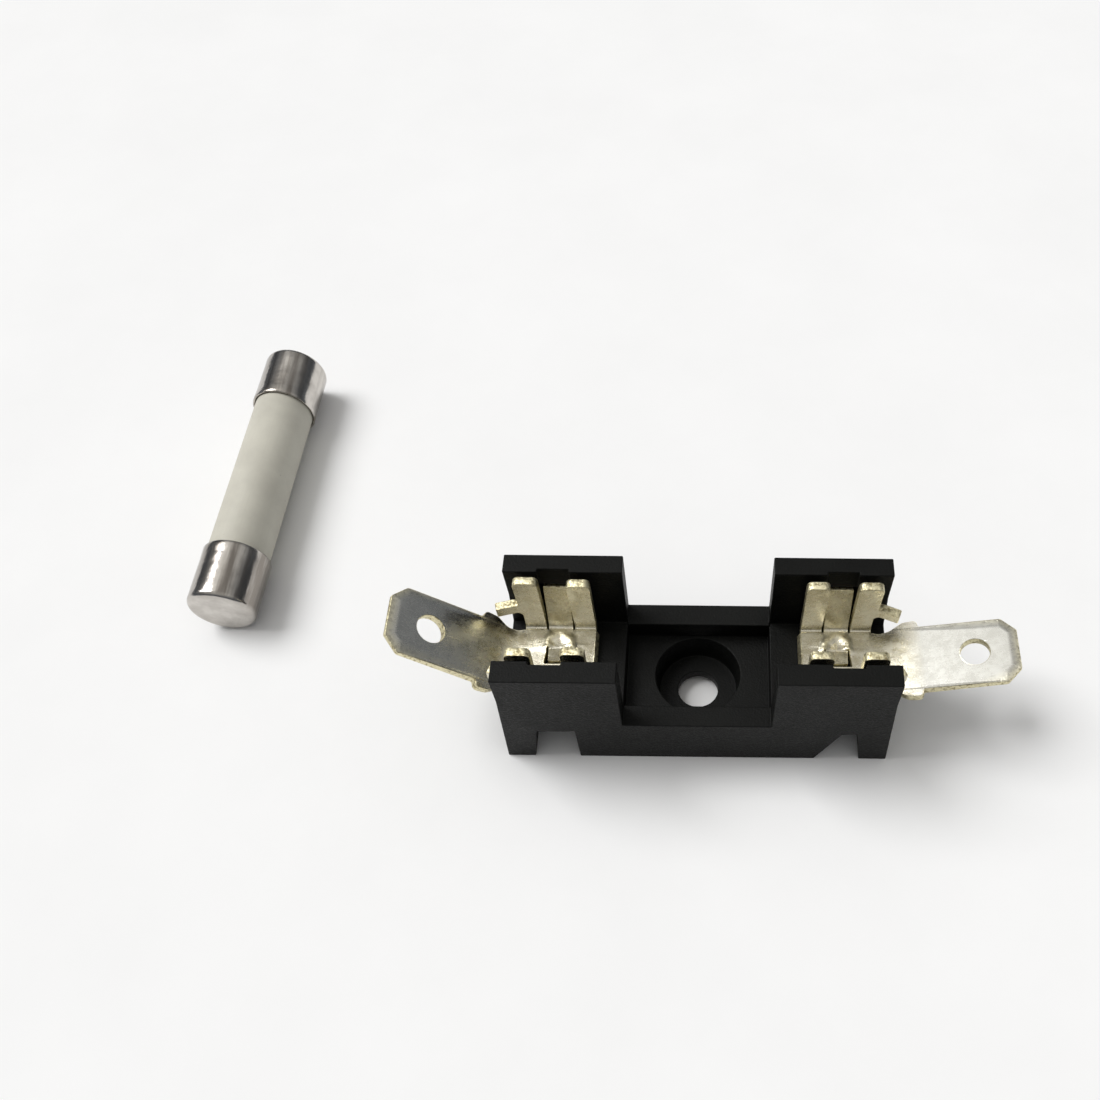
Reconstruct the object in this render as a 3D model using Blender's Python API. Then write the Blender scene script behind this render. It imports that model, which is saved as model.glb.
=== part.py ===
"""Cartridge fuse holder for a 6.35 x 31.75 mm fuse.

A moulded block carries two stamped clip terminals. Each terminal has a floor plate, two side
panels that hook under the block's pocket walls, four spring fingers that grip a fuse cap, and
a quick-connect blade. A ceramic cartridge fuse lies beside the block.

Axes: X along the fuse seat, Y to the back, Z up. The origin is on the axis of the screw hole,
in the plane that the block stands on. Sizes are in millimetres and become metres in the meshes.
"""

import math

import bmesh
import bpy
from mathutils import Matrix, Vector

MM = 0.001

# --- Block -----------------------------------------------------------------------------------
BLOCK_HALF_WIDTH = 6.25
BLOCK_HEIGHT = 14.2
TOP_HALF_LENGTH = 16.75
FOOT_HALF_LENGTH = 17.45
FLARE_HEIGHT = 10.7
MIDDLE_HALF_LENGTH = 6.5
MIDDLE_HEIGHT = 6.5
RECESS_FLOOR = 4.5
RECESS_FRONT = 4.25
RECESS_BACK = 4.1
POCKET_FLOOR = 6.3
POCKET_FRONT = 4.25
POCKET_BACK = 4.45
NOTCH_HEIGHT = 5.1
FOOT_INNER = 14.9
NOTCH_OUTER_TOP = 14.15
LEFT_NOTCH_INNER = 10.8
RIGHT_NOTCH_INNER_TOP = 12.85
SCREW_RADIUS = 1.87
COUNTERBORE_TOP_RADIUS = 3.87
COUNTERBORE_FLOOR_RADIUS = 3.6
COUNTERBORE_FLOOR = 1.75
RELIEF_RADIUS = 4.6
RELIEF_DEPTH = 0.7

# --- Stamped terminals -------------------------------------------------------------------------
SHEET = 0.8
CLIP_INNER_END = 9.25
CLIP_LENGTH = 6.35
CLIP_MIDDLE = CLIP_INNER_END + CLIP_LENGTH / 2
PLATE_UNDERSIDE = POCKET_FLOOR + 0.25
PLATE_MIDDLE = PLATE_UNDERSIDE + SHEET / 2
PLATE_TOP = PLATE_UNDERSIDE + SHEET
PLATE_HALF_WIDTH = 2.85
PANEL_HALF_LENGTH = 1.1
PANEL_ROOT = 2.94
PANEL_LEAN = 12.6
PANEL_TOP = 12.0
BEND_RADIUS = 0.8
FINGER_WIDTH = 1.9
FINGER_WIDENING = 0.25
FINGER_FACE = 3.25
FINGER_TOP = BLOCK_HEIGHT
FINGER_LEAN = 2.0
FINGER_CORNER = 0.5
SET_APART = {"left_back_outer_finger": -1.6, "left_front_inner_finger": 1.0}
LUG_LOW = 9.6
LUG_HIGH = 10.7
LUG_ROOT_DEPTH = 0.5
LUG_MOVES = ((1.0, 0.0), (0.5, 15.0), (1.1, 0.0))
SHOULDER_HALF_WIDTH = 3.85
SHOULDER_END = 10.65
# Distance from the clip's inner end and half-width, from the plate to just before the blade.
NECK_STATIONS = ((6.65, 3.0), (7.45, 3.0), (8.3, 3.5), (8.8, SHOULDER_HALF_WIDTH),
                 (10.05, SHOULDER_HALF_WIDTH), (10.5, 3.55))
BLADE_HALF_WIDTH = 3.175
BLADE_LENGTH = 8.4
BLADE_CORNER_LENGTH = 1.25
BLADE_TIP_HALF_WIDTH = 1.9
BLADE_TIP_TAPER = 0.9
BLADE_TIP_THICKNESS = 0.4
BLADE_HOLE_RADIUS = 1.28
BLADE_HOLE_FROM_SHOULDER = 4.65
TONGUE_HALF_WIDTH = 1.0
TONGUE_SLOT = 0.35
TONGUE_ROOT = 1.2
TONGUE_FLAT = 0.4
TONGUE_MOVES = ((TONGUE_FLAT, 0.0), (0.6, -6.0), (1.05, 0.0))

# Each terminal: which end it is on, where its bend's apex lies, the bend's radius and angle.
TERMINALS = {
    "left": {"side": -1, "apex": 17.2, "radius": 3.0, "angle": 40.0},
    "right": {"side": 1, "apex": 16.55, "radius": 6.0, "angle": 13.4},
}

# --- Ramps and catches that hold the panels -------------------------------------------------------
CATCH_HALF_LENGTH = PANEL_HALF_LENGTH + 0.25
CATCH_FACE = 5.45
CATCH_TOP = PANEL_TOP + 0.35
RAMP_RUN = 0.33

# --- Fuse ----------------------------------------------------------------------------------------
FUSE_HALF_LENGTH = 15.875
CAP_RADIUS = 3.175
CAP_LENGTH = 6.3
CAP_WALL = 0.245
CAP_CORNER = 0.35
TUBE_RADIUS = 2.88
TUBE_BORE = 2.0
WIRE_RADIUS = 0.14
SOLDER_RADIUS = 1.3
SOLDER_TIP_RADIUS = 0.78
SOLDER_LENGTH = 0.7
FILLER_RADIUS = 1.7
CLEARANCE = 0.3
END_GAP = 0.1
FUSE_PLACE = (-45.3, 22.8)
FUSE_HEADING = 88.0

# How finely round shapes are cut, and how far a tool reaches past the piece that it shapes.
ROUND_STEPS = 32
BORE_STEPS = 64
QUARTER_STEPS = 4
BEND_STEP = 11.0
SMOOTH_ANGLE = 30.0
REACH = 1.0
PLANES = {"X": (1, 2, 0), "Y": (0, 2, 1), "Z": (0, 1, 2)}


# --- Materials -----------------------------------------------------------------------------------
def material(name, colour, roughness, metallic):
    """A Principled material in one plain colour."""
    made = bpy.data.materials.new(name)
    made.use_nodes = True
    shader = made.node_tree.nodes["Principled BSDF"]
    shader.inputs["Base Color"].default_value = (*colour, 1.0)
    shader.inputs["Roughness"].default_value = roughness
    shader.inputs["Metallic"].default_value = metallic
    return made


def moulded_black():
    return material("moulded_black", (0.022, 0.023, 0.022), 0.5, 0.0)


def plated_brass():
    return material("plated_brass", (0.66, 0.62, 0.5), 0.28, 1.0)


def nickel():
    return material("nickel", (0.62, 0.6, 0.56), 0.22, 1.0)


def ceramic():
    return material("ceramic", (0.42, 0.4, 0.35), 0.6, 0.0)


def solder():
    return material("solder", (0.5, 0.5, 0.5), 0.35, 1.0)


def sand():
    return material("sand", (0.6, 0.55, 0.45), 0.9, 0.0)


# --- Shapes --------------------------------------------------------------------------------------
def quarter_round(centre, radius, start):
    """Points of a quarter circle about a centre, from a start angle in degrees."""
    angles = [math.radians(start + 90.0 * step / QUARTER_STEPS) for step in range(QUARTER_STEPS + 1)]
    return [(centre[0] + radius * math.cos(angle), centre[1] + radius * math.sin(angle))
            for angle in angles]


def make_object(name, mesh_builder):
    """An object whose mesh is a bmesh in millimetres, with its faces pointing out."""
    bmesh.ops.recalc_face_normals(mesh_builder, faces=mesh_builder.faces)
    mesh = bpy.data.meshes.new(name)
    mesh_builder.to_mesh(mesh)
    mesh_builder.free()
    mesh.transform(Matrix.Scale(MM, 4))
    made = bpy.data.objects.new(name, mesh)
    bpy.context.scene.collection.objects.link(made)
    return made


def prism(outline, axis, low, high, name="tool"):
    """A closed outline pushed along an axis; its points are in the other two axes' order."""
    first, second, along = PLANES[axis]
    mesh_builder = bmesh.new()
    rings = []
    for level in (low, high):
        ring = []
        for point in outline:
            place = [0.0, 0.0, 0.0]
            place[first], place[second], place[along] = point[0], point[1], level
            ring.append(mesh_builder.verts.new(place))
        rings.append(ring)
        mesh_builder.faces.new(ring)
    count = len(outline)
    for index in range(count):
        after = (index + 1) % count
        mesh_builder.faces.new((rings[0][index], rings[0][after], rings[1][after], rings[1][index]))
    return make_object(name, mesh_builder)


def box(low, high, name="tool"):
    """A box between two corners."""
    outline = [(low[0], low[1]), (high[0], low[1]), (high[0], high[1]), (low[0], high[1])]
    return prism(outline, "Z", low[2], high[2], name)


def turned(profile, name="tool", steps=ROUND_STEPS):
    """A round piece about the X axis from a closed profile of (x, radius) points."""
    mesh_builder = bmesh.new()
    angles = [2 * math.pi * step / steps for step in range(steps)]
    rings = []
    for x, radius in profile:
        if radius == 0.0:
            rings.append([mesh_builder.verts.new((x, 0.0, 0.0))] * steps)
            continue
        rings.append([mesh_builder.verts.new((x, radius * math.cos(angle), radius * math.sin(angle)))
                      for angle in angles])
    for index, ring in enumerate(rings):
        following = rings[(index + 1) % len(rings)]
        for step in range(steps):
            after = (step + 1) % steps
            corners = dict.fromkeys((ring[step], ring[after], following[after], following[step]))
            if len(corners) > 2:
                mesh_builder.faces.new(tuple(corners))
    return make_object(name, mesh_builder)


def combine(target, tool, operation):
    """Joins a tool shape to a target, cuts it out or keeps what both share, then drops the tool."""
    modifier = target.modifiers.new(operation, "BOOLEAN")
    modifier.operation = operation
    modifier.solver = "EXACT"
    modifier.object = tool
    depsgraph = bpy.context.evaluated_depsgraph_get()
    mesh = bpy.data.meshes.new_from_object(target.evaluated_get(depsgraph))
    target.modifiers.clear()
    target.data = mesh
    mesh.name = target.name
    bpy.data.objects.remove(tool, do_unlink=True)


def strip_path(start, heading, moves):
    """Middle line of a bent strip: (first, second, angle) for each point.

    Each move is a length along the strip and the degrees that the strip turns over it.
    """
    first, second = start
    angle = math.radians(heading)
    path = [(first, second, angle)]
    for length, turn in moves:
        steps = max(1, math.ceil(abs(turn) / BEND_STEP))
        for _ in range(steps):
            half_turn = math.radians(turn) / steps / 2
            angle += half_turn
            first += math.cos(angle) * length / steps
            second += math.sin(angle) * length / steps
            angle += half_turn
            path.append((first, second, angle))
    return path


def strip_outline(path, thickness):
    """Outline of a strip of sheet that has the given middle line."""
    left, right = [], []
    for first, second, angle in path:
        across = (-math.sin(angle) * thickness / 2, math.cos(angle) * thickness / 2)
        left.append((first + across[0], second + across[1]))
        right.append((first - across[0], second - across[1]))
    return left + right[::-1]


def finish(made, paint):
    """Gives a piece its material and smooth shading on its round stretches."""
    made.data.materials.clear()
    made.data.materials.append(paint)
    made.data.shade_smooth()
    made.data.set_sharp_from_angle(angle=math.radians(SMOOTH_ANGLE))
    return made


# --- Block ---------------------------------------------------------------------------------------
def block_outline():
    """Front view of the block, with its feet, notches, end blocks and low middle."""
    return [
        (-FOOT_HALF_LENGTH, 0.0), (-FOOT_INNER, 0.0), (-NOTCH_OUTER_TOP, NOTCH_HEIGHT),
        (-LEFT_NOTCH_INNER, NOTCH_HEIGHT), (-LEFT_NOTCH_INNER, 0.0), (LEFT_NOTCH_INNER, 0.0),
        (RIGHT_NOTCH_INNER_TOP, NOTCH_HEIGHT), (NOTCH_OUTER_TOP, NOTCH_HEIGHT), (FOOT_INNER, 0.0),
        (FOOT_HALF_LENGTH, 0.0), (TOP_HALF_LENGTH, FLARE_HEIGHT), (TOP_HALF_LENGTH, BLOCK_HEIGHT),
        (MIDDLE_HALF_LENGTH, BLOCK_HEIGHT), (MIDDLE_HALF_LENGTH, MIDDLE_HEIGHT),
        (-MIDDLE_HALF_LENGTH, MIDDLE_HEIGHT), (-MIDDLE_HALF_LENGTH, BLOCK_HEIGHT),
        (-TOP_HALF_LENGTH, BLOCK_HEIGHT), (-TOP_HALF_LENGTH, FLARE_HEIGHT),
    ]


def ramps_outline(above):
    """End view of the two ramps that lead a clip's panels down to their catches."""
    front, back = -POCKET_FRONT - RAMP_RUN, POCKET_BACK + RAMP_RUN
    return [
        (-POCKET_FRONT, CATCH_TOP), (POCKET_BACK, CATCH_TOP),
        (back, BLOCK_HEIGHT), (back, above), (front, above), (front, BLOCK_HEIGHT),
    ]


def upright_cone(low, low_radius, high, high_radius):
    """A cone or cylinder about the Z axis, as a tool."""
    profile = [(low, 0.0), (low, low_radius), (high, high_radius), (high, 0.0)]
    cone = turned(profile, steps=BORE_STEPS)
    cone.data.transform(Matrix.Rotation(-math.pi / 2, 4, "Y"))
    return cone


def base_block():
    """The moulded block: pockets, recess, screw hole, and the ramps and catches for the panels."""
    above = BLOCK_HEIGHT + REACH
    block = prism(block_outline(), "Y", -BLOCK_HALF_WIDTH, BLOCK_HALF_WIDTH, "base_block")
    combine(block, box((-MIDDLE_HALF_LENGTH, -RECESS_FRONT, RECESS_FLOOR),
                       (MIDDLE_HALF_LENGTH, RECESS_BACK, above)), "DIFFERENCE")
    for side in (-1, 1):
        ends = sorted((side * MIDDLE_HALF_LENGTH, side * (FOOT_HALF_LENGTH + REACH)))
        combine(block, box((ends[0], -POCKET_FRONT, POCKET_FLOOR),
                           (ends[1], POCKET_BACK, above)), "DIFFERENCE")
        catch = (side * CLIP_MIDDLE - CATCH_HALF_LENGTH, side * CLIP_MIDDLE + CATCH_HALF_LENGTH)
        combine(block, prism(ramps_outline(above), "X", *catch), "DIFFERENCE")
        combine(block, box((catch[0], -CATCH_FACE, POCKET_FLOOR),
                           (catch[1], CATCH_FACE, CATCH_TOP)), "DIFFERENCE")
    combine(block, upright_cone(COUNTERBORE_FLOOR, COUNTERBORE_FLOOR_RADIUS,
                                RECESS_FLOOR, COUNTERBORE_TOP_RADIUS), "DIFFERENCE")
    combine(block, upright_cone(-REACH, RELIEF_RADIUS, RELIEF_DEPTH, RELIEF_RADIUS), "DIFFERENCE")
    combine(block, upright_cone(-REACH, SCREW_RADIUS, RECESS_FLOOR, SCREW_RADIUS), "DIFFERENCE")
    return finish(block, moulded_black())


# --- Terminals -----------------------------------------------------------------------------------
def terminal_path(terminal):
    """Middle line of the plate, neck and blade in side view, from the clip's inner end."""
    angle = terminal["angle"]
    tangent = terminal["radius"] * math.tan(math.radians(angle) / 2)
    flat = terminal["apex"] - tangent - CLIP_INNER_END
    bend = terminal["radius"] * math.radians(angle)
    whole = SHOULDER_END + BLADE_LENGTH
    moves = ((flat, 0.0), (bend, angle), (whole - BLADE_TIP_TAPER - flat - bend, 0.0))
    return strip_path((CLIP_INNER_END, PLATE_MIDDLE), 0.0, moves)


def place_along(path, distance):
    """The point (x, z, angle) at a distance along a middle line, past its end if need be."""
    for before, after in zip(path, path[1:]):
        length = math.dist(before[:2], after[:2])
        if distance <= length:
            break
        distance -= length
    else:
        distance += length
    heading = math.atan2(after[1] - before[1], after[0] - before[0])
    return before[0] + math.cos(heading) * distance, before[1] + math.sin(heading) * distance, heading


def plan_outline(path):
    """Half-widths of plate, neck, shoulders and blade, as an outline seen from above."""
    tip = SHOULDER_END + BLADE_LENGTH
    stations = [
        (0.0, PLATE_HALF_WIDTH), (CLIP_LENGTH, PLATE_HALF_WIDTH), *NECK_STATIONS,
        (SHOULDER_END, BLADE_HALF_WIDTH), (tip - BLADE_CORNER_LENGTH, BLADE_HALF_WIDTH),
        (tip, BLADE_TIP_HALF_WIDTH), (tip + REACH, BLADE_TIP_HALF_WIDTH),
    ]
    upper = [(place_along(path, distance)[0], half_width) for distance, half_width in stations]
    return upper + [(x, -half_width) for x, half_width in reversed(upper)]


def blade_profile(path):
    """Side outline of plate, neck and blade; the blade's end is coined thinner."""
    outline = strip_outline(path, SHEET)
    x, z, angle = place_along(path, SHOULDER_END + BLADE_LENGTH)
    across = (-math.sin(angle) * BLADE_TIP_THICKNESS / 2, math.cos(angle) * BLADE_TIP_THICKNESS / 2)
    tip = [(x + across[0], z + across[1]), (x - across[0], z - across[1])]
    return outline[:len(path)] + tip + outline[len(path):]


def panels_profile():
    """End view of the two side panels and the plate between them."""
    turn = 90.0 - PANEL_LEAN
    bend_rise = BEND_RADIUS * (1 - math.cos(math.radians(turn)))
    rise = PANEL_TOP - PLATE_MIDDLE - bend_rise
    moves = ((PANEL_ROOT, 0.0), (BEND_RADIUS * math.radians(turn), turn),
             (rise / math.cos(math.radians(PANEL_LEAN)), 0.0))
    half = strip_path((0.0, PLATE_MIDDLE), 0.0, moves)
    mirrored = [(-y, z, -angle) for y, z, angle in reversed(half[1:])]
    return strip_outline(mirrored + half, SHEET)


def stamped_terminal(name, terminal):
    """Floor plate with its lifted tongue, side panels, neck, shoulders and blade."""
    path = terminal_path(terminal)
    strip_half_width = SHOULDER_HALF_WIDTH + REACH
    stamping = prism(blade_profile(path), "Y", -strip_half_width, strip_half_width, name)
    combine(stamping, prism(plan_outline(path), "Z", 0.0, 2 * BLOCK_HEIGHT), "INTERSECT")
    combine(stamping, prism(panels_profile(), "X", CLIP_MIDDLE - PANEL_HALF_LENGTH,
                            CLIP_MIDDLE + PANEL_HALF_LENGTH), "UNION")
    tongue_path = strip_path((-TONGUE_ROOT - TONGUE_FLAT, PLATE_MIDDLE), 0.0,
                             [(length, -turn) for length, turn in TONGUE_MOVES])
    tongue_path = [(-y, z, math.pi - angle) for y, z, angle in tongue_path]
    reach = min(point[0] for point in tongue_path)
    window = TONGUE_HALF_WIDTH + TONGUE_SLOT
    combine(stamping, box((CLIP_MIDDLE - window, reach - TONGUE_SLOT, PLATE_UNDERSIDE - REACH),
                          (CLIP_MIDDLE + window, TONGUE_ROOT, PLATE_TOP + REACH)), "DIFFERENCE")
    combine(stamping, prism(strip_outline(tongue_path, SHEET), "X", CLIP_MIDDLE - TONGUE_HALF_WIDTH,
                            CLIP_MIDDLE + TONGUE_HALF_WIDTH), "UNION")
    x, z, angle = place_along(path, SHOULDER_END + BLADE_HOLE_FROM_SHOULDER)
    punch = upright_cone(-REACH, BLADE_HOLE_RADIUS, REACH, BLADE_HOLE_RADIUS)
    punch.data.transform(Matrix.Translation(Vector((x, 0.0, z)) * MM) @ Matrix.Rotation(-angle, 4, "Y"))
    combine(stamping, punch, "DIFFERENCE")
    return put_on_side(stamping, terminal["side"], plated_brass())


def put_on_side(piece, side, paint):
    """Mirrors a piece to the left end when needed, keeping its faces outward."""
    if side < 0:
        piece.data.transform(Matrix.Scale(-1, 4, (1, 0, 0)))
        piece.data.flip_normals()
    return finish(piece, paint)


def finger_front_outline(outer):
    """Front view of one finger: wider at the top, with rounded top corners."""
    if outer:
        foot = (CLIP_INNER_END + CLIP_LENGTH - FINGER_WIDTH, CLIP_INNER_END + CLIP_LENGTH)
        top = (foot[0], foot[1] + FINGER_WIDENING)
    else:
        foot = (CLIP_INNER_END, CLIP_INNER_END + FINGER_WIDTH)
        top = (foot[0], foot[1] + FINGER_WIDENING / 2)
    outline = [(foot[0], PLATE_UNDERSIDE), (foot[1], PLATE_UNDERSIDE)]
    for centre_x, start in ((top[1] - FINGER_CORNER, 0.0), (top[0] + FINGER_CORNER, 90.0)):
        outline += quarter_round((centre_x, FINGER_TOP - FINGER_CORNER), FINGER_CORNER, start)
    return outline


def finger_end_outline(lean):
    """End view of one finger at the back: upright sheet that leans in over the seat."""
    middle = FINGER_FACE + SHEET / 2
    length = FINGER_TOP + REACH - PLATE_UNDERSIDE
    return strip_outline(strip_path((middle, PLATE_UNDERSIDE), 90.0 + lean, ((length, 0.0),)), SHEET)


def clip_finger(name, side, back, outer):
    """One gripping finger; an outer one carries the lug that stops the fuse endways."""
    lean = FINGER_LEAN + SET_APART.get(name, 0.0)
    finger = prism(finger_front_outline(outer), "Y", 0.0, BLOCK_HALF_WIDTH, name)
    combine(finger, prism(finger_end_outline(lean), "X", 0.0, TOP_HALF_LENGTH + REACH), "INTERSECT")
    if outer:
        lug_height = (LUG_LOW + LUG_HIGH) / 2 - PLATE_UNDERSIDE
        middle = FINGER_FACE + SHEET / 2 - lug_height * math.tan(math.radians(lean))
        root = (CLIP_INNER_END + CLIP_LENGTH - LUG_ROOT_DEPTH, middle)
        lug_path = strip_path(root, 0.0, [(length, -turn) for length, turn in LUG_MOVES])
        combine(finger, prism(strip_outline(lug_path, SHEET), "Z", LUG_LOW, LUG_HIGH), "UNION")
    if not back:
        finger.data.transform(Matrix.Scale(-1, 4, (0, 1, 0)))
        finger.data.flip_normals()
    return put_on_side(finger, side, plated_brass())


def clip_fingers():
    """Eight fingers: each terminal has an inner and an outer one at the back and the front."""
    for side_name, terminal in TERMINALS.items():
        for row_name, back in (("back", True), ("front", False)):
            for place_name, outer in (("inner", False), ("outer", True)):
                name = f"{side_name}_{row_name}_{place_name}_finger"
                clip_finger(name, terminal["side"], back, outer)


# --- Fuse ----------------------------------------------------------------------------------------
def cap_profile():
    """Half section of the end cap at +X, a cup with a rounded outer corner."""
    inner = CAP_RADIUS - CAP_WALL
    mouth = FUSE_HALF_LENGTH - CAP_LENGTH
    rounding = quarter_round((FUSE_HALF_LENGTH - CAP_CORNER, CAP_RADIUS - CAP_CORNER), CAP_CORNER, 0.0)
    return [(FUSE_HALF_LENGTH, 0.0), *rounding, (mouth, CAP_RADIUS), (mouth, inner),
            (FUSE_HALF_LENGTH - CLEARANCE, inner), (FUSE_HALF_LENGTH - CLEARANCE, 0.0)]


def tube_profile(half_length, outer, inner):
    """Half section of a plain tube about the X axis."""
    return [(-half_length, inner), (half_length, inner), (half_length, outer), (-half_length, outer)]


def cartridge_fuse():
    """The ceramic tube, its caps, and the wire, solder and sand inside, on one tilted axis."""
    carrier = bpy.data.objects.new("fuse_axis", None)
    bpy.context.scene.collection.objects.link(carrier)
    carrier.location = Vector((*FUSE_PLACE, CAP_RADIUS)) * MM
    carrier.rotation_euler = (0.0, 0.0, math.radians(FUSE_HEADING))
    tube_end = FUSE_HALF_LENGTH - CLEARANCE - END_GAP
    solder_face = tube_end - SOLDER_LENGTH
    wire_end = solder_face - END_GAP
    wire_profile = [(-wire_end, 0.0), (-wire_end, WIRE_RADIUS), (wire_end, WIRE_RADIUS), (wire_end, 0.0)]
    pieces = [
        finish(turned(tube_profile(tube_end, TUBE_RADIUS, TUBE_BORE), "fuse_tube"), ceramic()),
        finish(turned(wire_profile, "fuse_wire"), solder()),
        finish(turned(tube_profile(solder_face - CLEARANCE, FILLER_RADIUS, WIRE_RADIUS + CLEARANCE),
                      "sand_filler"), sand()),
    ]
    for end, turn in (("far", 0.0), ("near", math.pi)):
        cap = turned(cap_profile(), f"fuse_cap_{end}")
        joint = turned([(solder_face, 0.0), (solder_face, SOLDER_TIP_RADIUS), (tube_end, SOLDER_RADIUS),
                        (tube_end, 0.0)], f"solder_joint_{end}")
        for piece, paint in ((cap, nickel()), (joint, solder())):
            piece.data.transform(Matrix.Rotation(turn, 4, "Z"))
            pieces.append(finish(piece, paint))
    for piece in pieces:
        piece.parent = carrier


def main():
    for old in list(bpy.data.objects):
        bpy.data.objects.remove(old, do_unlink=True)
    base_block()
    for side_name, terminal in TERMINALS.items():
        stamped_terminal(f"{side_name}_terminal", terminal)
    clip_fingers()
    cartridge_fuse()


main()
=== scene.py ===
"""Looks of a cartridge fuse holder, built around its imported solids.

A moulded block, two stamped clips with sprung fingers and blades, and a ceramic cartridge fuse.
Pieces are shaped in millimetres and settled in metres, in the frame's own axes: X along the
fuse seat, Y to the back, Z up, with the origin under the screw hole.
"""

import logging
import math
from collections.abc import Callable, Iterable, Sequence
from dataclasses import dataclass, field
from enum import Enum

import bmesh
import bpy
from bmesh.types import BMesh
from bpy.types import ID, Material, Mesh, Node, NodeSocket, NodeTree, Object, Scene, World
from mathutils import Matrix, Vector

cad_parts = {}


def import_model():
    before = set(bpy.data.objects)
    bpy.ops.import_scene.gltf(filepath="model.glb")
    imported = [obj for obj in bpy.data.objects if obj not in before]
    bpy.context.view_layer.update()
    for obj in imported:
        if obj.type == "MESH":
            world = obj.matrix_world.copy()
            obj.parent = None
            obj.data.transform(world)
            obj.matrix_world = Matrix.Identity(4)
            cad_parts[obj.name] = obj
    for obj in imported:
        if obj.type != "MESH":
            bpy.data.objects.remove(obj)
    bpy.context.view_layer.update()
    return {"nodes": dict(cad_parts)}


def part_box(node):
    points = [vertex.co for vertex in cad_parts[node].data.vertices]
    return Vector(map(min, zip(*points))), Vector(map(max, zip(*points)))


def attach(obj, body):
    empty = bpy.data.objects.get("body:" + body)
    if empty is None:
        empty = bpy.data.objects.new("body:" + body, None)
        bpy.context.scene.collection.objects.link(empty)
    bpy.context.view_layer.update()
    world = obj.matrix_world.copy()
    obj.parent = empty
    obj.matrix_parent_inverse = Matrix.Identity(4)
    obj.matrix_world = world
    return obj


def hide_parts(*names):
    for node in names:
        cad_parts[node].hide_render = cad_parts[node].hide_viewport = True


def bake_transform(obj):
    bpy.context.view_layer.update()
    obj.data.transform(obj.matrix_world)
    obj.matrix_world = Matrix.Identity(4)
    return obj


LOG = logging.getLogger("fuse_holder")
MM = 0.001
BLANK_MAP = "blank"
TURNED_MAP = "turned"
CUT_EDGE = "cut_edge"

# Numbers of the Mix node's colour sockets, because other kinds of socket share their names.
MIX_FACTOR, MIX_FIRST, MIX_LAST, MIX_RESULT = 0, 6, 7, 2

Point = tuple[float, float]
Triple = tuple[float, float, float]
Colour = Triple
BLACK: Colour = (0.0, 0.0, 0.0)


# --- Shader and node sketches ---------------------------------------------------------------------
@dataclass(frozen=True)
class Noise:
    """A noise pattern: features per unit of its coordinates, finer layers, and their strength."""

    scale: float
    detail: float
    rough: float


class Sketch:
    """A node tree under construction."""

    def __init__(self, tree: NodeTree) -> None:
        """Starts on a tree."""
        self.tree = tree

    def feed(self, target: NodeSocket, value: object) -> None:
        """Links an input to a socket, or gives it a value."""
        if isinstance(value, NodeSocket):
            self.tree.links.new(value, target)
        else:
            target.default_value = value

    def add(self, kind: str, inputs: dict[str | int, object] | None = None, **settings: object) -> Node:
        """Adds a node.

        Args:
            kind: Blender's node type.
            inputs: Values or output sockets for its inputs, by name or number.
            settings: Values for the node's own properties.

        Returns:
            The new node.
        """
        node = self.tree.nodes.new(kind)
        for key, value in settings.items():
            setattr(node, key, value)
        for key, value in (inputs or {}).items():
            self.feed(node.inputs[key], value)
        return node

    def maths(self, operation: str, first: object, second: object = 0.0) -> NodeSocket:
        """The result of one operation on two values or sockets."""
        return self.add("ShaderNodeMath", {0: first, 1: second}, operation=operation).outputs[0]

    def times(self, first: object, second: object) -> NodeSocket:
        """The product of two values or sockets."""
        return self.maths("MULTIPLY", first, second)

    def less(self, first: object, second: object) -> NodeSocket:
        """The first value or socket less the second."""
        return self.maths("SUBTRACT", first, second)

    def total(self, *terms: object) -> NodeSocket:
        """The sum of several values or sockets."""
        result = terms[0]
        for term in terms[1:]:
            result = self.maths("ADD", result, term)
        return result

    def parts(self, vector: NodeSocket) -> tuple[NodeSocket, ...]:
        """The X, Y and Z of a vector."""
        return tuple(self.add("ShaderNodeSeparateXYZ", {"Vector": vector}).outputs)

    def span(self, value: NodeSocket, low: float, high: float, to_low: float = 0.0,
             to_high: float = 1.0, **settings: object) -> NodeSocket:
        """Maps a value's range to another, and holds it there.

        Args:
            value: The value's socket.
            low: Value that becomes to_low.
            high: Value that becomes to_high.
            to_low: Result at low.
            to_high: Result at high.
            settings: Values for the node's own properties.

        Returns:
            The result's socket.
        """
        inputs = {"Value": value, "From Min": low, "From Max": high, "To Min": to_low, "To Max": to_high}
        return self.add("ShaderNodeMapRange", inputs, **settings).outputs["Result"]

    def blend(self, factor: NodeSocket, first: object, last: object) -> NodeSocket:
        """A colour between two.

        Args:
            factor: 0 for the first colour, 1 for the last.
            first: A colour or a socket.
            last: A colour or a socket.

        Returns:
            The colour's socket.
        """
        made = self.add("ShaderNodeMix", {MIX_FACTOR: factor}, data_type="RGBA")
        for number, colour in ((MIX_FIRST, first), (MIX_LAST, last)):
            self.feed(made.inputs[number], colour if isinstance(colour, NodeSocket) else (*colour, 1.0))
        return made.outputs[MIX_RESULT]


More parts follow.
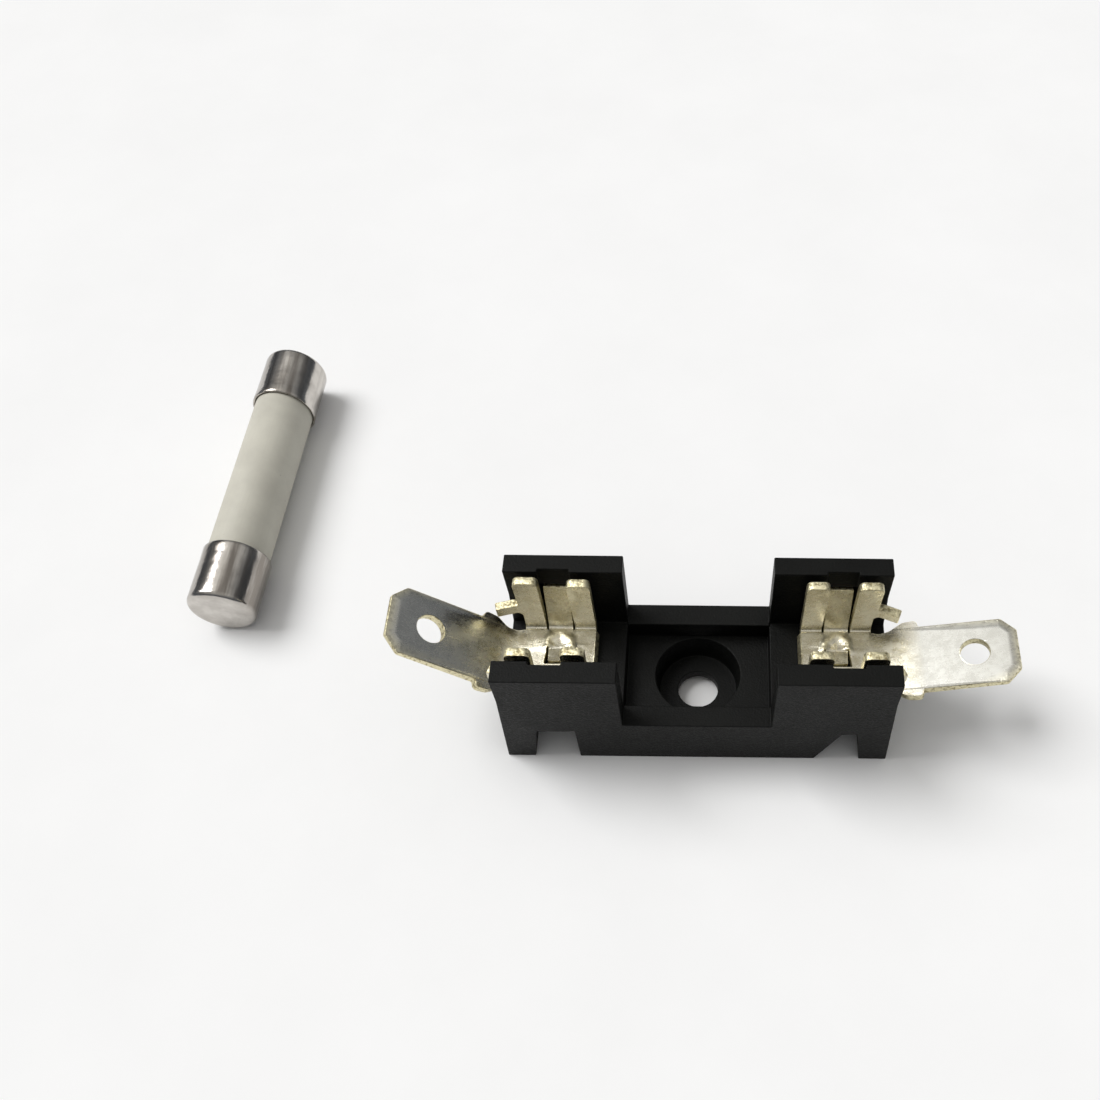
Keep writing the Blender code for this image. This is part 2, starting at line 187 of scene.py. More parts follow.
class ShaderSketch(Sketch):
    """A material under construction: one Principled shader and the nodes that feed it."""

    def __init__(self, name: str, metallic: float = 0.0, specular: float = 0.5) -> None:
        """Starts a material.

        Args:
            name: The material's name.
            metallic: 1 for bare metal, 0 for anything else.
            specular: Specular level of a surface that isn't metal.
        """
        self.material = bpy.data.materials.new(name)
        self.material.use_nodes = True
        super().__init__(self.material.node_tree)
        self.shader = self.tree.nodes["Principled BSDF"]
        self.shader.inputs["Metallic"].default_value = metallic
        self.shader.inputs["Specular IOR Level"].default_value = specular

    def place(self, stretch: Triple = (1.0, 1.0, 1.0)) -> NodeSocket:
        """Object coordinates in millimetres, with a scale for each axis."""
        source = self.add("ShaderNodeTexCoord").outputs["Object"]
        scale = tuple(part / MM for part in stretch)
        return self.add("ShaderNodeMapping", {"Vector": source, "Scale": scale}).outputs["Vector"]

    def chart(self, name: str, stretch: Triple) -> NodeSocket:
        """Coordinates that follow the surface, from a UV map, with a scale for each axis."""
        source = self.add("ShaderNodeUVMap", uv_map=name).outputs["UV"]
        return self.add("ShaderNodeMapping", {"Vector": source, "Scale": stretch}).outputs["Vector"]

    def noise(self, vector: NodeSocket, pattern: Noise) -> NodeSocket:
        """The value of a noise pattern at some coordinates."""
        inputs = {"Vector": vector, "Scale": pattern.scale, "Detail": pattern.detail,
                  "Roughness": pattern.rough}
        return self.add("ShaderNodeTexNoise", inputs).outputs["Fac"]

    def spots(self, vector: NodeSocket, scale: float, radius: float, strength: float) -> NodeSocket:
        """Scattered round spots with soft edges.

        Args:
            vector: Coordinates' socket.
            scale: Spots per unit of the coordinates.
            radius: A spot's radius as a share of the spacing.
            strength: The value inside a spot.

        Returns:
            The socket of a value that is 0 outside the spots.
        """
        cells = self.add("ShaderNodeTexVoronoi", {"Vector": vector, "Scale": scale})
        return self.span(cells.outputs["Distance"], radius, radius / 2, 0.0, strength)

    def bump(self, height: NodeSocket, depth: float, strength: float,
             under: NodeSocket | None = None) -> NodeSocket:
        """A bumped normal.

        Args:
            height: The height's socket.
            depth: Height in millimetres for a value of 1.
            strength: Share of the effect.
            under: The normal of a bump that this one lies on.

        Returns:
            The normal's socket.
        """
        inputs = {"Height": height, "Distance": depth * MM, "Strength": strength}
        if under is not None:
            inputs["Normal"] = under
        return self.add("ShaderNodeBump", inputs).outputs["Normal"]

    def finish(self, colour: NodeSocket, roughness: NodeSocket, normal: NodeSocket) -> Material:
        """Feeds the shader and returns the finished material."""
        for name, value in (("Base Color", colour), ("Roughness", roughness), ("Normal", normal)):
            self.feed(self.shader.inputs[name], value)
        return self.material


class NodeSketch(Sketch):
    """A Geometry Nodes tree under construction, with named inputs."""

    def __init__(self, name: str) -> None:
        """Starts a tree that takes and gives one geometry."""
        super().__init__(bpy.data.node_groups.new(name, "GeometryNodeTree"))
        for way in ("INPUT", "OUTPUT"):
            self.tree.interface.new_socket("Geometry", in_out=way, socket_type="NodeSocketGeometry")
        self.entry = self.tree.nodes.new("NodeGroupInput")
        self.exit = self.tree.nodes.new("NodeGroupOutput")

    def size(self, name: str, kind: str = "NodeSocketFloat") -> NodeSocket:
        """Adds a named input and returns its socket."""
        self.tree.interface.new_socket(name, in_out="INPUT", socket_type=kind)
        return self.entry.outputs[name]

    def close(self, geometry: NodeSocket) -> NodeTree:
        """Ends the tree with real geometry and its material.

        Args:
            geometry: The geometry to give out.

        Returns:
            The finished tree.
        """
        real = self.add("GeometryNodeRealizeInstances", {"Geometry": geometry}).outputs["Geometry"]
        painted = self.add("GeometryNodeSetMaterial", {
            "Geometry": real, "Material": self.size("Finish", "NodeSocketMaterial")})
        self.feed(self.exit.inputs["Geometry"], painted.outputs["Geometry"])
        return self.tree


# --- Finishes -------------------------------------------------------------------------------------
@dataclass(frozen=True)
class MouldedBlack:
    """Near-black moulded thermoset with a fine spark-eroded grain and a little dust."""

    body: Colour = (0.0018, 0.0020, 0.0016)
    worn: Colour = (0.0046, 0.0050, 0.0042)
    dust: Colour = (0.03, 0.03, 0.028)
    clouds: Noise = Noise(0.22, 4.0, 0.6)
    grain: Noise = Noise(5.5, 4.0, 0.65)

    def material(self) -> Material:
        """Builds the finish."""
        sketch = ShaderSketch("moulded_black_grain", specular=0.15)
        place = sketch.place()
        clouds = sketch.noise(place, self.clouds)
        grain = sketch.noise(place, self.grain)
        colour = sketch.blend(sketch.span(clouds, 0.35, 0.7), self.body, self.worn)
        colour = sketch.blend(sketch.spots(place, 0.9, 0.05, 0.55), colour, self.dust)
        colour = sketch.blend(sketch.span(grain, 0.5, 0.75, 0.0, 0.8), colour, self.worn)
        roughness = sketch.total(sketch.span(grain, 0.3, 0.7, 0.4, 0.62),
                                 sketch.span(clouds, 0.3, 0.7, -0.05, 0.05))
        return sketch.finish(colour, roughness, sketch.bump(grain, 0.06, 0.8))


@dataclass(frozen=True)
class PlatedBrass:
    """Nickel-washed brass strip: rolled faces, stains, and bare brass where it was sheared.

    The mottling calms down to blade_calm where the blades are, from blade_start outward.
    """

    light: Colour = (0.86, 0.83, 0.71)
    shade: Colour = (0.70, 0.655, 0.515)
    stain: Colour = (0.58, 0.47, 0.40)
    bare: Colour = (0.82, 0.755, 0.51)
    torn: Colour = (0.40, 0.34, 0.19)
    burnished: Colour = (0.64, 0.64, 0.61)
    clouds: Noise = Noise(0.9, 5.0, 0.7)
    blotches: Noise = Noise(1.6, 4.0, 0.65)
    pores: Noise = Noise(9.0, 3.0, 0.6)
    grain: Noise = Noise(5.0, 3.0, 0.7)
    sheared: Noise = Noise(3.2, 3.0, 0.65)
    rolled: Noise = Noise(1.1, 5.0, 0.6)
    rolling: Triple = (1.0, 26.0, 1.0)
    blade_start: float = 18.5
    blade_run: float = 1.5
    blade_calm: float = 0.15

    def material(self) -> Material:
        """Builds the finish."""
        sketch = ShaderSketch("plated_brass_strip", metallic=1.0)
        place = sketch.place()
        clouds, blotches, pores, grain, sheared = (sketch.noise(place, pattern) for pattern in (
            self.clouds, self.blotches, self.pores, self.grain, self.sheared))
        rolled = sketch.noise(sketch.chart(BLANK_MAP, self.rolling), self.rolled)
        cut = sketch.add("ShaderNodeAttribute", attribute_name=CUT_EDGE).outputs["Fac"]
        from_middle = sketch.maths("ABSOLUTE", sketch.parts(place)[0])
        mottling = sketch.span(from_middle, self.blade_start, self.blade_start + self.blade_run,
                               1.0, self.blade_calm)
        colour = sketch.blend(sketch.span(clouds, 0.36, 0.62), self.shade, self.light)
        colour = sketch.blend(sketch.span(blotches, 0.58, 0.72, 0.0, 0.55), colour, self.stain)
        colour = sketch.blend(sketch.span(grain, 0.5, 0.75, 0.0, 0.7), colour, self.shade)
        colour = sketch.blend(mottling, self.burnished, colour)
        edge = sketch.blend(sketch.span(sheared, 0.38, 0.5), self.torn, self.bare)
        colour = sketch.blend(cut, colour, edge)
        roughness = sketch.total(sketch.span(clouds, 0.3, 0.7, 0.2, 0.32),
                                 sketch.span(rolled, 0.3, 0.7, -0.03, 0.05), sketch.times(cut, 0.16))
        normal = sketch.bump(rolled, 0.004, 0.5)
        normal = sketch.bump(sketch.times(pores, mottling), 0.02, 0.5, normal)
        normal = sketch.bump(sketch.times(clouds, mottling), 0.06, 0.4, normal)
        normal = sketch.bump(sketch.times(sheared, cut), 0.12, 0.9, normal)
        return sketch.finish(colour, roughness, normal)


@dataclass(frozen=True)
class NickelCap:
    """Drawn nickel cap: faint rings from drawing, broad dark and bright bands along the wall that are
    painted reflections, soft dents and handling scuffs.
    """

    # Bright end of the painted reflection bands.
    light: Colour = (0.62, 0.59, 0.55)
    # Dark end of the painted reflection bands; the random darker clouds also lean to it.
    shade: Colour = (0.27, 0.245, 0.22)
    clouds: Noise = Noise(0.45, 4.0, 0.6)
    dents: Noise = Noise(1.1, 2.0, 0.5)
    rings: Noise = Noise(1.0, 3.0, 0.6)
    # Pattern of the painted reflection bands: broad bands round the wall, each running along the axis.
    drawn: Noise = Noise(1.0, 4.0, 0.6)
    scuffs: Noise = Noise(1.0, 4.0, 0.7)
    round_wall: Triple = (2.0, 150.0, 1.0)
    along_wall: Triple = (160.0, 6.0, 1.0)
    painted_band_stretch: Triple = (0.8, 0.05, 0.8)

    def material(self) -> Material:
        """Builds the finish, with its painted reflection bands full on the wall and faint on the end."""
        sketch = ShaderSketch("drawn_nickel", metallic=1.0)
        place = sketch.place()
        clouds = sketch.noise(place, self.clouds)
        dents = sketch.noise(place, self.dents)
        rings = sketch.noise(sketch.chart(TURNED_MAP, self.round_wall), self.rings)
        scuffs = sketch.noise(sketch.chart(TURNED_MAP, self.along_wall), self.scuffs)
        # Painted reflections: broad dark and bright bands round the cap, each running along its axis.
        drawn = sketch.noise(sketch.place(self.painted_band_stretch), self.drawn)
        along = sketch.parts(sketch.chart(TURNED_MAP, (1.0, 1.0, 1.0)))[1]
        on_wall = sketch.span(along, 0.25, 0.39, 0.25, 1.0)
        # Lays the painted reflection bands into the colour, full on the wall and faint on the end.
        colour = sketch.blend(sketch.times(sketch.span(drawn, 0.6, 0.4), on_wall), self.light, self.shade)
        colour = sketch.blend(sketch.span(clouds, 0.45, 0.7, 0.0, 0.4), colour, self.shade)
        roughness = sketch.total(sketch.span(clouds, 0.3, 0.7, 0.12, 0.2),
                                 sketch.span(scuffs, 0.55, 0.8, 0.0, 0.12))
        normal = sketch.bump(dents, 0.05, 0.5, sketch.bump(rings, 0.006, 0.5))
        return sketch.finish(colour, roughness, normal)


@dataclass(frozen=True)
class UnglazedCeramic:
    """Grey-beige fired tube: fine grain, cloudy tone and a few dark specks."""

    light: Colour = (0.60, 0.58, 0.50)
    shade: Colour = (0.53, 0.51, 0.44)
    speck: Colour = (0.2, 0.18, 0.15)
    clouds: Noise = Noise(0.28, 5.0, 0.6)
    grain: Noise = Noise(7.0, 4.0, 0.7)
    streaks: Noise = Noise(1.0, 3.0, 0.6)
    along_tube: Triple = (60.0, 3.0, 1.0)

    def material(self) -> Material:
        """Builds the finish."""
        sketch = ShaderSketch("unglazed_ceramic", specular=0.35)
        place = sketch.place()
        clouds = sketch.noise(place, self.clouds)
        grain = sketch.noise(place, self.grain)
        streaks = sketch.noise(sketch.chart(TURNED_MAP, self.along_tube), self.streaks)
        colour = sketch.blend(sketch.span(clouds, 0.35, 0.65), self.shade, self.light)
        colour = sketch.blend(sketch.span(streaks, 0.5, 0.75, 0.0, 0.35), colour, self.shade)
        colour = sketch.blend(sketch.spots(place, 0.7, 0.06, 0.5), colour, self.speck)
        roughness = sketch.span(grain, 0.3, 0.7, 0.5, 0.68)
        normal = sketch.bump(clouds, 0.12, 0.3, sketch.bump(grain, 0.02, 0.6))
        return sketch.finish(colour, roughness, normal)


@dataclass(frozen=True)
class GrainyFill:
    """A mottled finish for the pieces inside the fuse, such as solder, wire or sand."""

    name: str
    light: Colour
    shade: Colour
    metallic: float
    roughness: float
    grain: float
    roughness_spread: float = 0.08

    def material(self) -> Material:
        """Builds the finish."""
        sketch = ShaderSketch(self.name, metallic=self.metallic)
        grain = sketch.noise(sketch.place(), Noise(self.grain, 4.0, 0.7))
        colour = sketch.blend(sketch.span(grain, 0.35, 0.65), self.shade, self.light)
        roughness = sketch.span(grain, 0.3, 0.7, self.roughness - self.roughness_spread,
                                self.roughness + self.roughness_spread)
        return sketch.finish(colour, roughness, sketch.bump(grain, 0.08, 0.7))


@dataclass(frozen=True)
class PaleFloor:
    """Smooth pale bench paper."""

    tone: Colour = (0.94, 0.94, 0.94)
    shade: Colour = (0.91, 0.91, 0.91)
    fibre: Noise = Noise(0.05, 4.0, 0.6)

    def material(self) -> Material:
        """Builds the finish."""
        sketch = ShaderSketch("pale_floor", specular=0.1)
        fibre = sketch.noise(sketch.place(), self.fibre)
        colour = sketch.blend(sketch.span(fibre, 0.3, 0.7), self.shade, self.tone)
        roughness = sketch.span(fibre, 0.3, 0.7, 0.85, 0.95)
        return sketch.finish(colour, roughness, sketch.bump(fibre, 0.05, 0.1))


# --- Outlines and meshes --------------------------------------------------------------------------
STRAIGHT = math.radians(89.5)
LARGE_FACE_WEIGHT = 70


def hold(share: float) -> float:
    """Holds a share between 0 and 1."""
    return min(1.0, max(0.0, share))


def smooth(share: float) -> float:
    """Eases a share from 0 to 1, held at both ends."""
    held = hold(share)
    return held * held * (3 - 2 * held)


def even_steps(low: float, high: float, step: float) -> list[float]:
    """Evenly spaced values from low to high, about a step apart."""
    count = max(1, round((high - low) / step))
    return [low + (high - low) * index / count for index in range(count + 1)]


def arc(centre: Point, half_axes: Point, start: float, end: float, steps: int) -> list[Point]:
    """Points of a round or oval arc.

    Args:
        centre: Its centre.
        half_axes: Its radius along each axis.
        start: Its start angle, in degrees.
        end: Its end angle, in degrees.
        steps: Straight pieces in it.

    Returns:
        The points, with both ends.
    """
    turns = [math.radians(start + (end - start) * step / steps) for step in range(steps + 1)]
    return [(centre[0] + half_axes[0] * math.cos(turn), centre[1] + half_axes[1] * math.sin(turn))
            for turn in turns]


def rounded_outline(corners: Sequence[Triple], arc_steps: int = 5) -> list[Point]:
    """Turns corners into an outline with round corners.

    Args:
        corners: The corners in order, each with x, y and the radius of its rounding.
        arc_steps: Straight pieces in each round corner.

    Returns:
        The outline's points.
    """
    outline: list[Point] = []
    count = len(corners)
    for index, (x, y, radius) in enumerate(corners):
        here = Vector((x, y))
        before = (Vector(corners[index - 1][:2]) - here).normalized()
        after = (Vector(corners[(index + 1) % count][:2]) - here).normalized()
        half = before.angle(after) / 2
        if radius <= 0.0 or half > STRAIGHT:
            outline.append((x, y))
            continue
        centre = here + (before + after).normalized() * radius / math.sin(half)
        first = here + before * radius / math.tan(half) - centre
        last = here + after * radius / math.tan(half) - centre
        for step in range(arc_steps + 1):
            share = step / arc_steps
            spoke = first * (1 - share) + last * share
            outline.append(tuple(centre + spoke.normalized() * radius))
    return outline


def new_piece(name: str, data: ID) -> Object:
    """Links a new object that shows a mesh, a curve, a light or a camera."""
    piece = bpy.data.objects.new(name, data)
    bpy.context.scene.collection.objects.link(piece)
    return piece


def evaluated_mesh(piece: Object) -> Mesh:
    """A plain mesh of what a piece's curve or modifiers make."""
    mesh = bpy.data.meshes.new_from_object(piece.evaluated_get(bpy.context.evaluated_depsgraph_get()))
    mesh.name = piece.name
    return mesh


def plain_mesh(piece: Object) -> None:
    """Replaces a piece's mesh with its evaluated one, and drops its modifiers."""
    mesh = evaluated_mesh(piece)
    piece.modifiers.clear()
    piece.data = mesh


def rebuild(piece: Object, change: Callable[[BMesh], None]) -> None:
    """Edits a piece's mesh through a bmesh.

    Args:
        piece: The piece to edit.
        change: What to do with its bmesh.
    """
    builder = bmesh.new()
    builder.from_mesh(piece.data)
    change(builder)
    builder.to_mesh(piece.data)
    builder.free()
    piece.data.update()


def paint(piece: Object, finish: Material) -> None:
    """Gives a piece one finish in place of those that it has."""
    piece.data.materials.clear()
    piece.data.materials.append(finish)


def shape_with(piece: Object, tree: NodeTree, sizes: dict[str, object]) -> None:
    """Puts a Geometry Nodes tree on a piece and turns the result into its mesh.

    Args:
        piece: The piece to shape.
        tree: The tree that shapes it.
        sizes: A value for each of the tree's named inputs.
    """
    modifier = piece.modifiers.new(tree.name, "NODES")
    modifier.node_group = tree
    for item in tree.interface.items_tree:
        if item.in_out == "INPUT" and item.name in sizes:
            modifier[item.identifier] = sizes[item.name]
    plain_mesh(piece)


def settle(piece: Object, place: Matrix) -> None:
    """Puts a piece that was shaped in millimetres at its place, in metres, with faces outward.

    Args:
        piece: The piece, with no modifiers.
        place: Where it goes, in millimetres; it may mirror the piece.
    """
    piece.data.transform(Matrix.Scale(MM, 4) @ place)
    rebuild(piece, lambda builder: bmesh.ops.recalc_face_normals(builder, faces=builder.faces))
    piece.data.shade_smooth()


def even_shading(piece: Object) -> None:
    """Lets the large faces rule the shading, so that small edge rounds read as edges."""
    modifier = piece.modifiers.new("even_shading", "WEIGHTED_NORMAL")
    modifier.mode = "FACE_AREA"
    modifier.weight = LARGE_FACE_WEIGHT
    modifier.keep_sharp = True


# --- Sheet metal ----------------------------------------------------------------------------------
class FoldLine(Enum):
    """Which way a fold line runs on a flat blank."""

    ALONG_X = "fold_along_x"
    ALONG_Y = "fold_along_y"


def fold_tree(line: FoldLine) -> NodeTree:
    """Builds the tree that folds a flat blank about a line on each side of its middle.

    Named inputs: Start, where the fold begins; Radius and Angle of its middle line; Centre and
    Reach, the stretch of the fold line that it acts on; Finish.

    Args:
        line: The way that the fold line runs.

    Returns:
        The tree.
    """
    sketch = NodeSketch(line.value)
    start, radius, angle, centre, reach = (
        sketch.size(name) for name in ("Start", "Radius", "Angle", "Centre", "Reach"))
    x, y, height = sketch.parts(sketch.add("GeometryNodeInputPosition").outputs["Position"])
    across, along = (y, x) if line is FoldLine.ALONG_X else (x, y)
    distance = sketch.maths("ABSOLUTE", across)
    reached = sketch.less(distance, start)
    bend = sketch.times(radius, angle)
    bent = sketch.maths("MINIMUM", sketch.maths("MAXIMUM", reached, 0.0), bend)
    flat = sketch.maths("MINIMUM", distance, start)
    beyond = sketch.maths("MAXIMUM", sketch.less(reached, bend), 0.0)
    turn = sketch.maths("DIVIDE", bent, radius)
    sine = sketch.maths("SINE", turn)
    cosine = sketch.maths("COSINE", turn)
    out = sketch.total(flat, sketch.times(sketch.less(radius, height), sine), sketch.times(beyond, cosine))
    up = sketch.total(radius, sketch.times(sketch.less(height, radius), cosine), sketch.times(beyond, sine))
    out = sketch.times(out, sketch.maths("SIGN", across))
    first, second = (along, out) if line is FoldLine.ALONG_X else (out, along)
    target = sketch.add("ShaderNodeCombineXYZ", {"X": first, "Y": second, "Z": up}).outputs["Vector"]
    offset = sketch.maths("ABSOLUTE", sketch.less(along, centre))
    moved = sketch.add("GeometryNodeSetPosition", {
        "Geometry": sketch.entry.outputs["Geometry"], "Position": target,
        "Selection": sketch.maths("LESS_THAN", offset, reach)})
    return sketch.close(moved.outputs["Geometry"])


@dataclass
class SheetShop:
    """Makes flat blanks from strip and folds them.

    Attributes:
        thickness: Thickness of the strip.
        edge: Rounding of its cut edges.
        brass: The strip's finish.
    """

    thickness: float
    edge: float
    brass: Material
    trees: dict[FoldLine, NodeTree] = field(default_factory=dict)

    @property
    def rolled_level(self) -> float:
        """Height above a blank's middle from which a point counts as on a rolled face."""
        return self.thickness / 2 - self.edge / 10

    @property
    def weld_distance(self) -> float:
        """Distance under which two points of a blank are one."""
        return self.edge / 50

    def blank(self, name: str, loops: Sequence[Sequence[Point]]) -> Object:
        """Cuts a flat blank with slightly rounded edges, about the plane Z = 0.

        Args:
            name: The piece's name.
            loops: Its outline and the outlines of its holes.

        Returns:
            The blank.
        """
        curve = bpy.data.curves.new(name, "CURVE")
        curve.dimensions = "2D"
        curve.fill_mode = "BOTH"
        curve.extrude = self.thickness / 2 - self.edge
        curve.bevel_depth = self.edge
        curve.bevel_resolution = 1
        curve.offset = -self.edge
        for loop in loops:
            spline = curve.splines.new("POLY")
            spline.points.add(len(loop) - 1)
            for point, (x, y) in zip(spline.points, loop):
                point.co = (x, y, 0.0, 1.0)
            spline.use_cyclic_u = True
        drawn = new_piece(name, curve)
        mesh = evaluated_mesh(drawn)
        bpy.data.objects.remove(drawn)
        piece = new_piece(name, mesh)
        paint(piece, self.brass)
        rebuild(piece, self._weld)
        return piece

    def _weld(self, builder: BMesh) -> None:
        """Merges a new blank's doubles and points its faces outward."""
        bmesh.ops.remove_doubles(builder, verts=builder.verts, dist=self.weld_distance)
        bmesh.ops.recalc_face_normals(builder, faces=builder.faces)

    def score(self, piece: Object, x_lines: Iterable[float], y_lines: Iterable[float]) -> None:
        """Cuts a blank's faces along straight lines, so that it can bend there.

        Args:
            piece: The blank.
            x_lines: Where lines across X go.
            y_lines: Where lines across Y go.
        """
        def cut(builder: BMesh) -> None:
            for normal, places in (((1.0, 0.0, 0.0), x_lines), ((0.0, 1.0, 0.0), y_lines)):
                for place in places:
                    bmesh.ops.bisect_plane(
                        builder, geom=builder.verts[:] + builder.edges[:] + builder.faces[:],
                        plane_co=Vector(normal) * place, plane_no=normal, dist=self.weld_distance)
        rebuild(piece, cut)

    def _crease(self, builder: BMesh) -> None:
        """Marks the edges where a blank's flat faces meet its sheared ones."""
        level = self.rolled_level
        for edge in builder.edges:
            kinds = {all(abs(vertex.co.z) >= level for vertex in face.verts) for face in edge.link_faces}
            edge.smooth = len(kinds) == 1

    def chart(self, piece: Object) -> None:
        """Stores where each point lay on the flat strip, and how far it is a sheared face."""
        rebuild(piece, self._crease)
        mesh = piece.data
        chart = mesh.uv_layers.new(name=BLANK_MAP)
        for loop in mesh.loops:
            chart.data[loop.index].uv = mesh.vertices[loop.vertex_index].co.xy
        sheared = mesh.attributes.new(CUT_EDGE, "FLOAT", "POINT")
        for vertex in mesh.vertices:
            sheared.data[vertex.index].value = float(abs(vertex.co.z) < self.rolled_level)

    def fold(self, piece: Object, line: FoldLine, start: float, radius: float, angle: float,
             centre: float = 0.0, reach: float = 100.0) -> None:
        """Folds a blank up, with the Geometry Nodes tree for that way of folding.

        Args:
            piece: The blank.
            line: The way that the fold line runs.
            start: Where the fold begins.
            radius: Radius of the fold's middle line.
            angle: Angle of the fold, in degrees.
            centre: Middle of the stretch that is folded.
            reach: Half the length of that stretch.
        """
        if line not in self.trees:
            self.trees[line] = fold_tree(line)
        shape_with(piece, self.trees[line], {
            "Start": start, "Radius": radius, "Angle": math.radians(angle), "Centre": centre,
            "Reach": reach, "Finish": self.brass})


# --- Clips and blades -----------------------------------------------------------------------------
class End(Enum):
    """Which end of the holder a clip is at."""

    LEFT = "left"
    RIGHT = "right"


class Row(Enum):
    """Which side of the fuse a finger is on."""

    BACK = "back"
    FRONT = "front"


class Place(Enum):
    """Whether a finger stands nearer the holder's middle or its end."""

    INNER = "inner"
    OUTER = "outer"


# Distance between the lines that blanks are scored on, where they are pressed, folded or flat.
PRESS_STEP = 0.12
FOLD_STEP = 0.09
FINGER_STEP = 0.08
FLAT_STEP = 0.6


@dataclass(frozen=True)
class NeckBend:
    """The bend between a clip's floor and its blade: its apex, radius and angle."""

    apex: float
    radius: float
    angle: float

    @property
    def start(self) -> float:
        """Distance from the holder's middle at which the bend begins."""
        return self.apex - self.radius * math.tan(math.radians(self.angle) / 2)

    @property
    def length(self) -> float:
        """Length of the bend along the strip."""
        return self.radius * math.radians(self.angle)


@dataclass
class StampedClip:
    """One stamped terminal: floor, lifted tongue, side panels, four fingers, neck and blade.

    The sizes are in millimetres on the flat blank, with X away from the holder's middle. A
    neck corner is its distance past the clip, its half-width and its rounding. An arch wave is
    its size, how often it repeats round the arch, and where it starts. A point still counts as
    on the tongue within tongue_slack of its side and its tip.
    """

    end: End
    shop: SheetShop
    neck: NeckBend
    inner_end: float = 9.25
    length: float = 6.35
    floor_middle: float = 6.95
    seam: float = 2.9
    fold_start: float = 2.963
    end_slant: float = 0.28
    slant_run: float = 0.25
    panel_half: float = 1.1
    panel_slack: float = 0.05
    panel_corner: float = 0.12
    panel_radius: float = 0.77
    panel_angle: float = 77.4
    panel_top: float = 12.0
    finger_width: float = 1.9
    finger_widening: float = 0.25
    finger_waist: float = 0.05
    finger_radius: float = 0.65
    finger_lean: float = 2.0
    finger_top: float = 14.17
    finger_corner: float = 0.5
    finger_scored: Point = (0.3, 6.0)
    root_rise: float = 0.9
    lug_low: float = 9.6
    lug_high: float = 10.7
    lug_start: float = 15.95
    lug_radius: float = 1.0
    lug_angle: float = 22.0
    lug_tip: float = 17.85
    lug_corner: float = 0.15
    lug_fillet: float = 0.45
    neck_corners: tuple[Triple, ...] = (
        (0.7, 2.78, 0.5), (1.75, 3.02, 1.2), (2.9, 3.75, 1.0), (4.15, 3.85, 0.4))
    shoulder_end: float = 19.9
    shoulder_fillet: float = 0.18
    blade_half: float = 3.175
    blade_tip: float = 28.3
    tip_half: float = 1.9
    tip_chamfer: float = 1.25
    tip_roundings: Point = (0.3, 0.25)
    tip_scored: Point = (1.5, 0.1)
    coined: float = 0.75
    coined_share: float = 0.5
    coined_from: float = 2.2
    hole_at: float = 24.55
    hole_radius: float = 1.28
    hole_steps: int = 48
    tongue_half: float = 1.0
    tongue_root: float = 1.1
    tongue_tip: float = -0.42
    tongue_corner: float = 0.1
    tongue_dip: float = 0.1
    tongue_rise: float = 0.14
    tongue_dip_fade: float = 1.6
    tongue_slack: Point = (0.02, 0.01)
    slot_width: float = 0.3
    slot_root_width: float = 0.1
    slot_end_width: float = 0.2
    pressed_half: float = 1.6
    pressed_below_tip: float = 0.3
    arch_height: float = 0.16
    arch_dip: float = 0.06
    arch_dip_fade: float = 1.25
    arch_half_axes: Point = (1.16, 1.42)
    arch_ridge: float = 0.3
    arch_waves: tuple[Triple, ...] = ((0.05, 3.0, 1.0), (0.04, 7.0, 0.0))
    arch_fade: Point = (0.7, 0.8)
    rubbed_below_root: float = 0.4
    rubbed_share: float = 0.7
    set_apart: dict[str, float] = field(default_factory=dict)

    @property
    def middle(self) -> float:
        """Distance of the clip's middle from the holder's middle."""
        return self.inner_end + self.length / 2

    @property
    def outer_end(self) -> float:
        """Distance of the clip's outer end from the holder's middle."""
        return self.inner_end + self.length

    @property
    def mirror(self) -> Matrix:
        """Turns the clip to its end of the holder, and lifts it to its height."""
        sign = -1.0 if self.end is End.LEFT else 1.0
        return Matrix.Translation((0, 0, self.floor_middle)) @ Matrix.Diagonal((sign, 1, 1, 1))

    def build(self) -> list[Object]:
        """Makes the terminal and its four fingers, and puts the terminal on its body."""
        return [self.terminal()] + [self.finger(row, place) for row in Row for place in Place]

    def terminal(self) -> Object:
        """Makes the floor with its tongue and panels, the neck and the blade.

        Returns:
            The finished piece.
        """
        name = f"{self.end.value}_terminal"
        piece = self.shop.blank(f"{name}_stamping", [self._plan(), self._slot(), self._hole()])
        self._score_terminal(piece)
        self.shop.chart(piece)
        self._press(piece)
        self.shop.fold(piece, FoldLine.ALONG_X, self.fold_start, self.panel_radius, self.panel_angle,
                       self.middle, self.panel_half + self.panel_slack)
        self.shop.fold(piece, FoldLine.ALONG_Y, self.neck.start, self.neck.radius, self.neck.angle)
        settle(piece, self.mirror)
        even_shading(piece)
        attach(piece, "holder")
        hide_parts(name)
        return piece

    def _on_blank(self, height: float, radius: float, angle: float) -> float:
        """Where a height on a standing panel or finger lies on the flat blank.

        Args:
            height: The height, above the plane that the holder stands on.
            radius: Radius of the fold at its root.
            angle: Angle of that fold, in degrees.

        Returns:
            The distance from the blank's middle line.
        """
        turn = math.radians(angle)
        bent = self.floor_middle + radius * (1 - math.cos(turn))
        return self.fold_start + radius * turn + (height - bent) / math.sin(turn)

